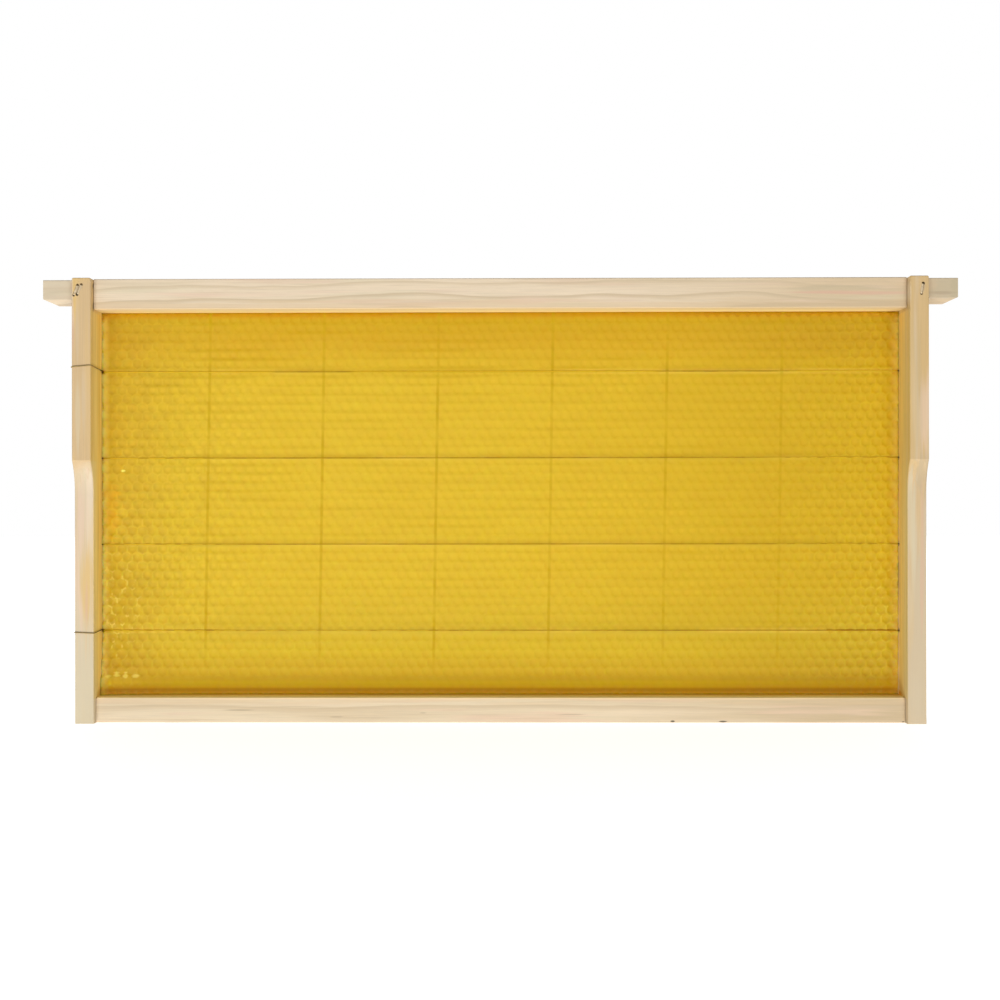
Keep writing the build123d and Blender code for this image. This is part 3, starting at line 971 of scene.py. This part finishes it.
def bed_wires(front):
    """Melts a narrow bed along each strung wire into the front of the sheet."""
    make_active(front)
    bpy.ops.object.mode_set(mode="EDIT")
    for height, stretches in zip(wire_heights, bed_stretches):
        for edge in (height - bed_half, height + bed_half):
            bpy.ops.mesh.select_all(action="SELECT")
            bpy.ops.mesh.bisect(plane_co=(0, 0, edge), plane_no=(0, 0, 1))
        for start, end in stretches:
            pick_vertices(
                front,
                lambda place: abs(place.z - height) < 1.01 * bed_half and start < place.x < end,
            )
            bpy.ops.transform.resize(value=(1, 0, 1), center_override=(0, bed_level, 0))
    leave_edit()


def close_sheet(front, back):
    """Joins the two sides along their edges."""
    make_active(front)
    back.select_set(True)
    bpy.ops.object.join()
    bpy.ops.object.mode_set(mode="EDIT")
    bpy.ops.mesh.select_mode(type="EDGE")
    bpy.ops.mesh.select_all(action="DESELECT")
    bpy.ops.mesh.select_non_manifold(
        extend=False, use_wire=False, use_boundary=True, use_multi_face=False, use_non_contiguous=False
    )
    bpy.ops.mesh.bridge_edge_loops()
    bpy.ops.mesh.select_mode(type="VERT")
    bpy.ops.mesh.select_all(action="SELECT")
    bpy.ops.mesh.normals_make_consistent(inside=False)
    leave_edit()
    return front


def ramp(value, start, end):
    """0 at start, 1 at end, and held there."""
    return min(max((value - start) / (end - start), 0.0), 1.0)


def press_cells(side):
    """Softens the cells: most over the middle, less at the sides, and hardly in the low corners."""
    group = side.vertex_groups.new(name="pressed")
    for vertex in side.data.vertices:
        outward = abs(vertex.co.x)
        calm = calm_share * ramp(-vertex.co.x, *calm_left) * ramp(vertex.co.z, *calm_height)
        crisp = crisp_share * ramp(outward, crisp_start, crisp_end) ** 2 * (1.0 - calm)
        low = ramp(vertex.co.z, corner_top, corner_top - corner_fade)
        corner = corner_share * low * ramp(outward, inner_face - corner_reach, inner_face)
        group.add([vertex.index], 1.0 - max(crisp, corner), "REPLACE")
    press = side.modifiers.new("press", "SMOOTH")
    press.use_x = False
    press.use_z = False
    press.factor = press_share
    press.iterations = press_passes
    press.vertex_group = group.name
    apply_modifier(side, press)


def lift_corner(sheet):
    """Bends the foot's left corner forward, below the lowest wire."""
    group = sheet.vertex_groups.new(name="lifted")
    top = wire_heights[-1] - lift_below_wire
    for vertex in sheet.data.vertices:
        down = ramp(vertex.co.z, top, wax_low.z)
        along = ramp(vertex.co.x, left_edge[1] + lift_reach, left_edge[1])
        weight = down**1.5 * along**2
        if weight > 0:
            group.add([vertex.index], weight, "REPLACE")
    bend = sheet.modifiers.new("lift", "DISPLACE")
    bend.direction = "Y"
    bend.mid_level = 0.0
    bend.strength = -lift_forward
    bend.vertex_group = group.name
    apply_modifier(sheet, bend)


def make_wax_sheet():
    side, start = emboss_side()
    back = turn_to_back(side, start)
    trim(side)
    trim(back)
    press_cells(side)
    press_cells(back)
    bed_wires(side)
    sheet = close_sheet(side, back)
    lift_corner(sheet)
    make_active(sheet)
    bpy.ops.object.shade_smooth_by_angle(angle=radians(smooth_angle))
    sheet.data.materials.clear()
    sheet.data.materials.append(foundation_wax())
    return sheet


# Stage


def set_world():
    world = bpy.data.worlds.new("white_studio")
    bpy.context.scene.world = world
    world.use_nodes = True
    tree = world.node_tree
    tree.nodes.clear()
    background = tree.nodes.new("ShaderNodeBackground")
    background.inputs["Color"].default_value = white
    strength = smooth_step(tree, seen_directly(tree), 0.0, 1.0, ambient_light, 1.0)
    feed(tree, background.inputs["Strength"], strength)
    output = tree.nodes.new("ShaderNodeOutputWorld")
    tree.links.new(background.outputs[0], output.inputs["Surface"])


def add_floor():
    deselect_all()
    bpy.ops.mesh.primitive_plane_add(size=floor_size)
    floor = bpy.context.object
    floor.name = "floor"
    material = bpy.data.materials.new("white_floor")
    material.use_nodes = True
    tree = material.node_tree
    shader = tree.nodes["Principled BSDF"]
    shader.inputs["Base Color"].default_value = floor_grey
    shader.inputs["Roughness"].default_value = 0.9
    shader.inputs["Emission Color"].default_value = white
    feed(tree, shader.inputs["Emission Strength"], product(tree, seen_directly(tree), floor_glow))
    floor.data.materials.append(material)
    floor.visible_shadow = False


def add_soft_light(name, place, size, power):
    """A round lamp that points at the middle of the frame."""
    lamp = bpy.data.lights.new(name, "AREA")
    lamp.shape = "DISK"
    lamp.size = size
    lamp.energy = power
    light = bpy.data.objects.new(name, lamp)
    bpy.context.scene.collection.objects.link(light)
    light.location = place
    aim = Vector((0, 0, middle_height))
    light.rotation_euler = (aim - Vector(place)).to_track_quat("-Z", "Y").to_euler()


def add_camera():
    lens = bpy.data.cameras.new("camera")
    lens.lens = camera_lens
    lens.sensor_width = camera_sensor
    camera = bpy.data.objects.new("camera", lens)
    bpy.context.scene.collection.objects.link(camera)
    camera.location = camera_place
    camera.rotation_euler = (radians(90), radians(camera_roll), radians(camera_turn))
    bpy.context.scene.camera = camera


# Marks on the bars: the middle of each, its reach, its colour and its strength


def staple_marks(*staples):
    """Painted shadow along the crown of a front staple, and painted shade in the holes where its legs go in.
    """
    marks = []
    for staple in staples:
        low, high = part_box(staple)
        for share in (0.3, 0.5, 0.7):
            x = low.x + share * (high.x - low.x)
            z = low.z + share * (high.z - low.z)
            marks.append(((x, shoulder_front, z), (0.0014, skin, 0.0016), grain_brown, 0.6))
        for x, z in ((high.x - leg_inset, high.z - leg_inset), (low.x + leg_inset, low.z + leg_inset)):
            marks.append(((x, shoulder_front, z), (0.0009, skin, 0.0010), hole_black, 1.0))
    return tuple(marks)


top_marks = (
    ((0.1755, bar_front, 0.2284), (0.034, skin, 0.0022), moss, 0.35),
    ((0.1830, bar_front, 0.2258), (0.040, skin, 0.0014), rose, 0.8),
    ((0.0155, bar_front, 0.2224), (0.022, skin, 0.0032), pink, 0.6),
    ((0.1950, bar_front, 0.2338), (0.055, skin, 0.0010), tan, 0.7),
    ((-0.2340, lug_front, 0.2290), (0.0300, skin, 0.0200), grey_sage, 0.6),
    # Painted reflected light, pink, in the corners where the lugs meet the ears
    ((-0.2252, lug_front, 0.2305), (0.0018, skin, 0.0050), rose, 0.6),
    ((0.2258, lug_front, 0.2305), (0.0018, skin, 0.0050), rose, 0.6),
    ((0.2350, lug_front, 0.2280), (0.0320, skin, 0.0240), lichen, 0.7),
    ((0.2330, lug_front, 0.2262), (0.0100, skin, 0.0014), grain_brown, 0.6),
    ((0.2272, lug_front, 0.2312), (0.0040, skin, 0.0060), tan, 0.6),
    ((0.2395, lug_front, 0.2290), (0.0036, skin, 0.0090), moss, 0.6),
    # Painted shade on the top bar's underside
    ((0.0, -0.0060, opening_top), (0.8, 0.040, 0.0010), dusk, 0.85),
    ((0.0, bar_front, opening_top), (1.6, skin, 0.0062), lip, 0.5),
    ((0.2050, bar_front, 0.2188), (0.1300, skin, 0.0046), buff, 0.45),
)
foot_marks = (
    ((0.0, foot_front, 0.0140), (1.6, skin, 0.0048), lip, 0.45),
    # Painted highlight along the bottom bar's top front edge
    ((0.0, foot_front, 0.0137), (1.6, skin, 0.0018), edge_highlight, 0.7),
    ((-0.1366, foot_front, 0.0067), (0.0095, skin, 0.0005), grain_brown, 0.6),
    ((-0.0860, foot_front, 0.0031), (0.0045, skin, 0.0005), grain_brown, 0.5),
    ((-0.0404, foot_front, 0.0052), (0.0026, skin, 0.0005), grain_brown, 0.5),
    ((0.0380, foot_front, 0.0044), (0.0105, skin, 0.0005), grain_brown, 0.5),
    ((0.0911, foot_front, 0.0008), (0.0012, skin, 0.0006), hole_black, 0.8),
    ((0.1175, foot_front, 0.0006), (0.0024, skin, 0.0006), hole_black, 0.8),
    ((0.2122, foot_front, 0.0006), (0.0014, skin, 0.0006), hole_black, 0.9),
)
left_marks = (
    ((-0.2185, bar_front, 0.0120), (0.0400, skin, 0.0560), straw, 0.85),
    ((-0.2145, bar_front, 0.1120), (0.0036, skin, 0.0330), cream, 0.8),
    ((-0.2198, bar_front, 0.1080), (0.0034, skin, 0.0240), pink, 0.7),
    ((-0.2170, bar_front, 0.0720), (0.0040, skin, 0.0240), honey, 0.7),
    ((-0.2172, bar_front, 0.0620), (0.0010, skin, 0.0140), rose, 0.5),
    ((-0.2205, shoulder_front, 0.2030), (0.0016, skin, 0.0220), dusk, 0.5),
    ((-0.2228, shoulder_front, 0.2030), (0.0014, skin, 0.0140), rose, 0.5),
    ((-0.2172, shoulder_front, 0.1700), (0.0020, skin, 0.0220), dusk, 0.5),
    ((-0.2205, shoulder_front, 0.1650), (0.0024, skin, 0.0260), sage, 0.4),
    ((-0.2140, shoulder_front, 0.1780), (0.0034, skin, 0.0520), honey, 0.30),
    ((-0.2142, bar_front, 0.0760), (0.0034, skin, 0.0400), honey, 0.30),
    ((-0.2135, -0.0138, 0.2302), (0.0010, 0.0009, 0.0024), hole_black, 0.85),
    ((-0.2135, -0.0138, 0.2192), (0.0010, 0.0009, 0.0036), hole_black, 0.85),
) + staple_marks("front_left_outer_staple", "front_left_inner_staple")
right_marks = (
    ((0.2185, bar_front, 0.0400), (0.0400, skin, 0.1100), oat, 0.7),
    # Painted shade on the right shoulder's bevel
    ((0.2215, -0.0155, 0.1295), (0.0080, 0.0060, 0.0150), buff, 0.75),
    ((0.2157, bar_front, 0.1040), (0.0040, skin, 0.0400), sage, 0.6),
    ((0.2212, bar_front, 0.0900), (0.0013, skin, 0.0600), rose, 0.5),
    ((0.2212, shoulder_front, 0.1640), (0.0032, skin, 0.0260), pink, 0.6),
    ((0.2160, shoulder_front, 0.1800), (0.0050, skin, 0.0560), moss, 0.25),
    ((0.2142, shoulder_front, 0.1800), (0.0036, skin, 0.0560), honey, 0.30),
    ((0.2142, bar_front, 0.0700), (0.0030, skin, 0.0700), honey, 0.25),
    # Painted light on the right ear's inner side, by the top bar
    ((0.2135, -0.0155, 0.2260), (0.0012, 0.0050, 0.0120), ivory, 0.8),
) + staple_marks("front_right_staple")

# Put together

bpy.context.scene.view_settings.view_transform = "Standard"
add_camera()
set_world()
add_floor()
for side, name in ((-1, "low_left_light"), (1, "low_right_light")):
    place = (side * low_light_place[0], *low_light_place[1:])
    add_soft_light(name, place, low_light_size, low_light_power)
add_soft_light("high_rear_light", rear_light_place, rear_light_size, rear_light_power)

grain_nodes = pine_grain_group()
mark_nodes = mark_group()
light_and_shade_nodes = wax_light_and_shade_group()
nodes["top_bar"].data.materials[0] = pine(
    "top_bar_pine", turn=lying, pith=(0, -14, -160), ring_pitch=6.5, wander=9.0, arch=0.9, arch_at=21.0,
    early=cream, late=tan, blush=pink, sap=sage, heart=(along_x, 0.04, 0.20, dusk), marks=top_marks,
)
nodes["bottom_bar"].data.materials[0] = pine(
    "bottom_bar_pine", turn=lying, pith=(300, -10, 60), ring_pitch=9.0, wander=6.0,
    early=ivory, late=tan, blush=pink, sap=cream, heart=(along_x, 0.03, 0.20, tawny), marks=foot_marks,
)
nodes["left_end_bar"].data.materials[0] = pine(
    "left_bar_pine", turn=upright, pith=(600, -45, -215), ring_pitch=9.0, wander=8.0,
    early=pale, late=toffee, blush=pink, sap=amber, heart=(along_z, 0.1372, 0.1390, honey), marks=left_marks,
    bare=(left_bar_low.x + 0.00005, left_bar_low.x + 0.0013),
)
nodes["right_end_bar"].data.materials[0] = pine(
    "right_bar_pine", turn=upright, pith=(900, -48, 225), ring_pitch=9.0, wander=8.0,
    early=pale, late=toffee, blush=dusk, sap=amber, heart=(along_z, 0.090, 0.150, caramel), marks=right_marks,
)

wire_steel = steel("wire_steel", upright_wire, smoothest=0.35, roughest=0.57)
staple_steel = steel("staple_steel", staple_wire, smoothest=0.45, roughest=0.67)
nodes["frame_wire"].data.materials[0] = strung_wire()
for name, node in nodes.items():
    if "upright" in name:
        node.data.materials[0] = wire_steel
    elif "staple" in name:
        node.data.materials[0] = staple_steel

wax_sheet = make_wax_sheet()
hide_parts("wax_foundation")
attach(wax_sheet, "root")
